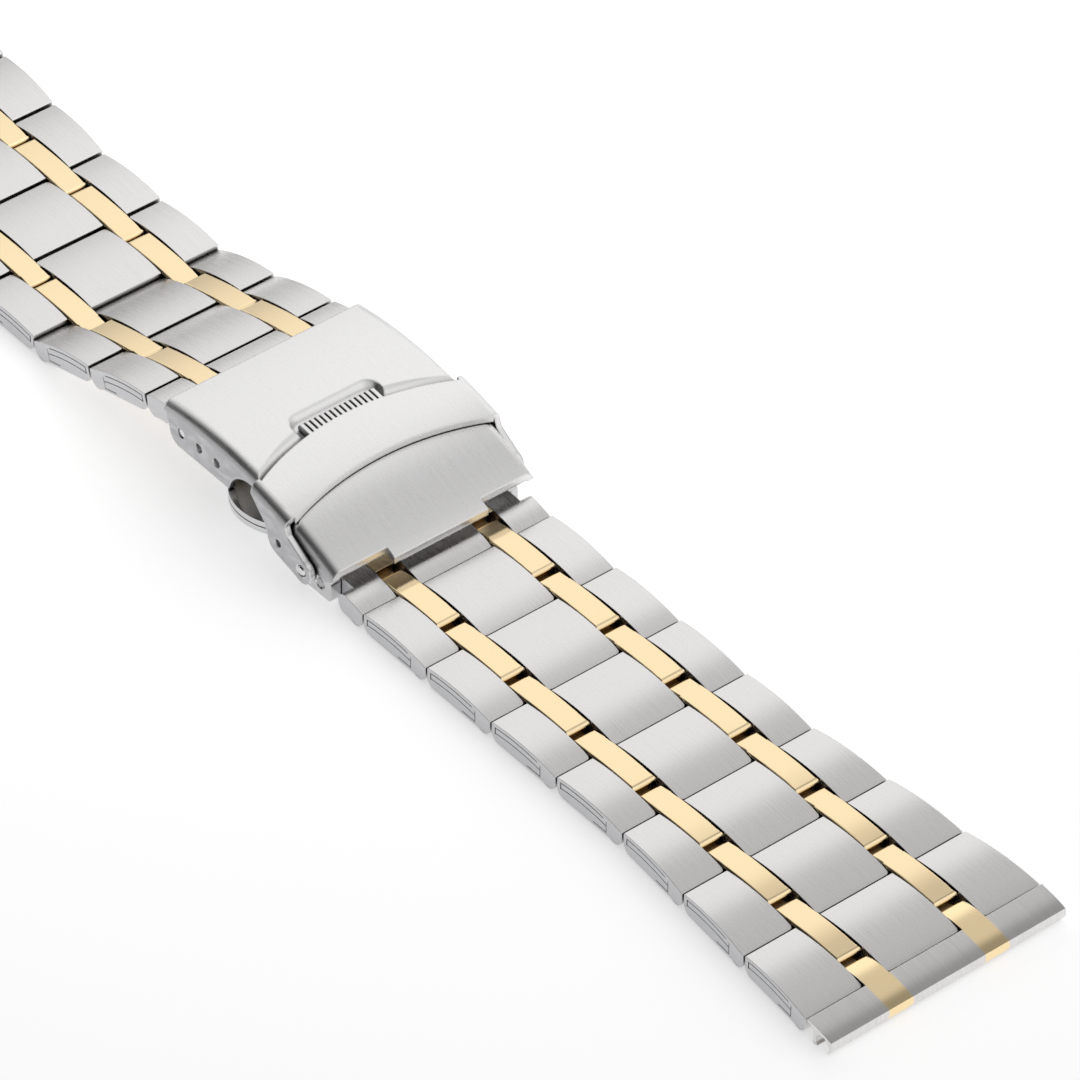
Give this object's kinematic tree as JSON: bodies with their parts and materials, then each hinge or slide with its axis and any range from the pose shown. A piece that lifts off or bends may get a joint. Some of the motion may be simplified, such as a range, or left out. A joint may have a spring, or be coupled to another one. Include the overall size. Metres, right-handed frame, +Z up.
{
  "type": "watch bracelet",
  "caption": "Two-tone metal watch bracelet: brushed folded links beside polished gold-coloured links, straight end pieces and a fold-over clasp with a safety catch.",
  "frame": {"origin": "on the table, below the middle of the laid-out bracelet", "axes": "+X along the bracelet towards the strand that the clasp's bracket holds, +Y across it, +Z up through the links' show side"},
  "size_m": [0.1507, 0.024, 0.0083],
  "materials": {
    "brushed_steel": "fine brushing along the bracelet",
    "gold_plate": "polished gold-coloured plating",
    "blade_steel": "polished sheet",
    "polished_steel": "polished",
    "pin_steel": "drawn wire"
  },
  "bodies": {
    "cover": {"clasp_cover": "brushed_steel", "spring_bar_tube": "pin_steel", "spring_bar_spring": "pin_steel"},
    "tip_near": {"spring_bar_tip_near": "polished_steel"},
    "tip_far": {"spring_bar_tip_far": "polished_steel"},
    "catch": {"safety_catch": "brushed_steel"},
    "middle_blade": {"middle_blade": "blade_steel", "blade_pins": "polished_steel"},
    "lower_blade": {"lower_blade": "blade_steel", "bracket_pin": "pin_steel"},
    "lower_half_row": {"lower_half_row_steel": "brushed_steel", "lower_half_row_gold": "gold_plate", "lower_half_row_pin": "pin_steel"},
    "lower_row_1": {"lower_row_1_steel": "brushed_steel", "lower_row_1_gold": "gold_plate", "lower_row_1_pins": "pin_steel"},
    "lower_row_2": {"lower_row_2_steel": "brushed_steel", "lower_row_2_gold": "gold_plate", "lower_row_2_pins": "pin_steel"},
    "lower_row_3": {"lower_row_3_steel": "brushed_steel", "lower_row_3_gold": "gold_plate", "lower_row_3_pins": "pin_steel"},
    "lower_row_4": {"lower_row_4_steel": "brushed_steel", "lower_row_4_gold": "gold_plate", "lower_row_4_pins": "pin_steel"},
    "lower_row_5": {"lower_row_5_steel": "brushed_steel", "lower_row_5_gold": "gold_plate", "lower_row_5_pins": "pin_steel"},
    "lower_row_6": {"lower_row_6_steel": "brushed_steel", "lower_row_6_gold": "gold_plate", "lower_row_6_pins": "pin_steel"},
    "lower_row_7": {"lower_row_7_steel": "brushed_steel", "lower_row_7_gold": "gold_plate", "lower_row_7_pins": "pin_steel"},
    "lower_end": {"lower_end_piece": "brushed_steel"},
    "upper_half_row": {"upper_half_row_steel": "brushed_steel", "upper_half_row_gold": "gold_plate", "upper_half_row_pin": "pin_steel"},
    "upper_row_1": {"upper_row_1_steel": "brushed_steel", "upper_row_1_gold": "gold_plate", "upper_row_1_pins": "pin_steel"},
    "upper_row_2": {"upper_row_2_steel": "brushed_steel", "upper_row_2_gold": "gold_plate", "upper_row_2_pins": "pin_steel"},
    "upper_row_3": {"upper_row_3_steel": "brushed_steel", "upper_row_3_gold": "gold_plate", "upper_row_3_pins": "pin_steel"},
    "upper_row_4": {"upper_row_4_steel": "brushed_steel", "upper_row_4_gold": "gold_plate", "upper_row_4_pins": "pin_steel"},
    "upper_row_5": {"upper_row_5_steel": "brushed_steel", "upper_row_5_gold": "gold_plate", "upper_row_5_pins": "pin_steel"},
    "upper_row_6": {"upper_row_6_steel": "brushed_steel", "upper_row_6_gold": "gold_plate", "upper_row_6_pins": "pin_steel"},
    "upper_row_7": {"upper_row_7_steel": "brushed_steel", "upper_row_7_gold": "gold_plate", "upper_row_7_pins": "pin_steel"},
    "upper_end": {"upper_end_piece": "brushed_steel"}
  },
  "joints": [
    {"name": "catch_open", "type": "hinge", "parent": "cover", "child": "catch", "pos_m": [0.0077, 0, 0.00288], "axis": [0, -1, 0], "range_deg": [-95, 0]},
    {"name": "clasp_unfold", "type": "hinge", "parent": "cover", "child": "middle_blade", "pos_m": [0.0077, 0, 0.00288], "axis": [0, 1, 0], "range_deg": [-165, 0]},
    {"name": "blade_fold", "type": "hinge", "parent": "middle_blade", "child": "lower_blade", "pos_m": [-0.0093, 0, 0.00316], "axis": [0, 1, 0], "range_deg": [-1, 166]},
    {"name": "tip_near_press", "type": "slide", "parent": "cover", "child": "tip_near", "axis": [0, 1, 0], "range_m": [0, 0.0009], "stiffness_N_per_m": 300, "springref_m": -0.002, "deforming": ["spring_bar_spring"]},
    {"name": "tip_far_press", "type": "slide", "parent": "cover", "child": "tip_far", "axis": [0, -1, 0], "range_m": [0, 0.0009], "stiffness_N_per_m": 300, "springref_m": -0.002, "deforming": ["spring_bar_spring"]},
    {"name": "lower_half_row_hinge", "type": "hinge", "parent": "lower_blade", "child": "lower_half_row", "pos_m": [0.0083, 0, 0.00125], "axis": [0, 1, 0], "range_deg": [-8, 20]},
    {"name": "lower_row_1_hinge", "type": "hinge", "parent": "lower_half_row", "child": "lower_row_1", "pos_m": [0.01299, 0, 0.00095], "axis": [0, 1, 0], "range_deg": [-8, 20]},
    {"name": "lower_row_2_hinge", "type": "hinge", "parent": "lower_row_1", "child": "lower_row_2", "pos_m": [0.02129, 0, 0.00095], "axis": [0, 1, 0], "range_deg": [-8, 20]},
    {"name": "lower_row_3_hinge", "type": "hinge", "parent": "lower_row_2", "child": "lower_row_3", "pos_m": [0.02959, 0, 0.00095], "axis": [0, 1, 0], "range_deg": [-8, 20]},
    {"name": "lower_row_4_hinge", "type": "hinge", "parent": "lower_row_3", "child": "lower_row_4", "pos_m": [0.03789, 0, 0.00095], "axis": [0, 1, 0], "range_deg": [-8, 20]},
    {"name": "lower_row_5_hinge", "type": "hinge", "parent": "lower_row_4", "child": "lower_row_5", "pos_m": [0.04619, 0, 0.00095], "axis": [0, 1, 0], "range_deg": [-8, 20]},
    {"name": "lower_row_6_hinge", "type": "hinge", "parent": "lower_row_5", "child": "lower_row_6", "pos_m": [0.05449, 0, 0.00095], "axis": [0, 1, 0], "range_deg": [-8, 20]},
    {"name": "lower_row_7_hinge", "type": "hinge", "parent": "lower_row_6", "child": "lower_row_7", "pos_m": [0.06279, 0, 0.00095], "axis": [0, 1, 0], "range_deg": [-8, 20]},
    {"name": "lower_end_hinge", "type": "hinge", "parent": "lower_row_7", "child": "lower_end", "pos_m": [0.07109, 0, 0.00095], "axis": [0, 1, 0], "range_deg": [-8, 20]},
    {"name": "upper_half_row_hinge", "type": "hinge", "parent": "cover", "child": "upper_half_row", "pos_m": [-0.00936, 0, 0.00585], "axis": [0, -1, 0], "range_deg": [-4, 20]},
    {"name": "upper_row_1_hinge", "type": "hinge", "parent": "upper_half_row", "child": "upper_row_1", "pos_m": [-0.01393, 0, 0.00534], "axis": [0, -1, 0], "range_deg": [-8, 20]},
    {"name": "upper_row_2_hinge", "type": "hinge", "parent": "upper_row_1", "child": "upper_row_2", "pos_m": [-0.02194, 0, 0.00314], "axis": [0, -1, 0], "range_deg": [-8, 20]},
    {"name": "upper_row_3_hinge", "type": "hinge", "parent": "upper_row_2", "child": "upper_row_3", "pos_m": [-0.02994, 0, 0.00095], "axis": [0, -1, 0], "range_deg": [-8, 20]},
    {"name": "upper_row_4_hinge", "type": "hinge", "parent": "upper_row_3", "child": "upper_row_4", "pos_m": [-0.03824, 0, 0.00095], "axis": [0, -1, 0], "range_deg": [-8, 20]},
    {"name": "upper_row_5_hinge", "type": "hinge", "parent": "upper_row_4", "child": "upper_row_5", "pos_m": [-0.04654, 0, 0.00095], "axis": [0, -1, 0], "range_deg": [-8, 20]},
    {"name": "upper_row_6_hinge", "type": "hinge", "parent": "upper_row_5", "child": "upper_row_6", "pos_m": [-0.05484, 0, 0.00095], "axis": [0, -1, 0], "range_deg": [-8, 20]},
    {"name": "upper_row_7_hinge", "type": "hinge", "parent": "upper_row_6", "child": "upper_row_7", "pos_m": [-0.06314, 0, 0.00095], "axis": [0, -1, 0], "range_deg": [-8, 20]},
    {"name": "upper_end_hinge", "type": "hinge", "parent": "upper_row_7", "child": "upper_end", "pos_m": [-0.07144, 0, 0.00095], "axis": [0, -1, 0], "range_deg": [-8, 20]}
  ],
  "couplings": [
    {"joint": "blade_fold", "follows": "clasp_unfold", "ratio": -1}
  ]
}
